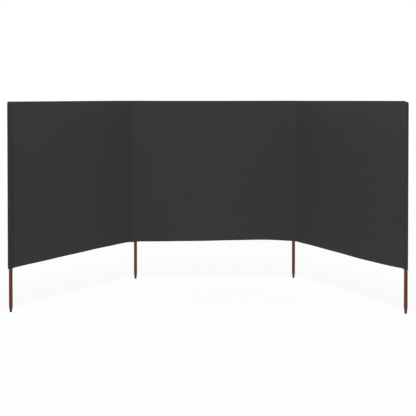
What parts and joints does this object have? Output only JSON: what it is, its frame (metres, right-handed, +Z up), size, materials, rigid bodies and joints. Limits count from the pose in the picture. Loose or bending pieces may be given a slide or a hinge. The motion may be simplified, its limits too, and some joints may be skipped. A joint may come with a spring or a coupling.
{
  "type": "beach windbreak",
  "caption": "Beach windbreak: bays of plain dark cloth carried on round pointed wooden poles in sewn sleeves, with side bays that swing about the middle poles.",
  "frame": {"origin": "centre of the flat end face of the left middle pole's blunt point", "axes": "+X along the middle bay to the right middle pole, +Y away from the sheltered side, +Z up the poles"},
  "size_m": [2.828, 1.2023, 1.5],
  "materials": {
    "pole_wood": "stained, satin",
    "cloth": "plain weave, matte"
  },
  "bodies": {
    "middle_bay": {"left_middle_pole": "pole_wood", "right_middle_pole": "pole_wood", "left_middle_sleeve": "cloth", "right_middle_sleeve": "cloth", "middle_bay_cloth": "cloth", "middle_top_hem": "cloth", "middle_bottom_hem": "cloth"},
    "left_bay": {"left_end_pole": "pole_wood", "left_end_sleeve": "cloth", "left_bay_cloth": "cloth", "left_top_hem": "cloth", "left_bottom_hem": "cloth"},
    "right_bay": {"right_end_pole": "pole_wood", "right_end_sleeve": "cloth", "right_bay_cloth": "cloth", "right_top_hem": "cloth", "right_bottom_hem": "cloth"}
  },
  "joints": [
    {"name": "left_bay_swing", "type": "hinge", "parent": "middle_bay", "child": "left_bay", "pos_m": [0, 0, 0], "axis": [0, 0, 1], "range_deg": [-170.1, 65.9]},
    {"name": "right_bay_swing", "type": "hinge", "parent": "middle_bay", "child": "right_bay", "pos_m": [1.335, 0, 0], "axis": [0, 0, -1], "range_deg": [-179.2, 56.8]}
  ]
}
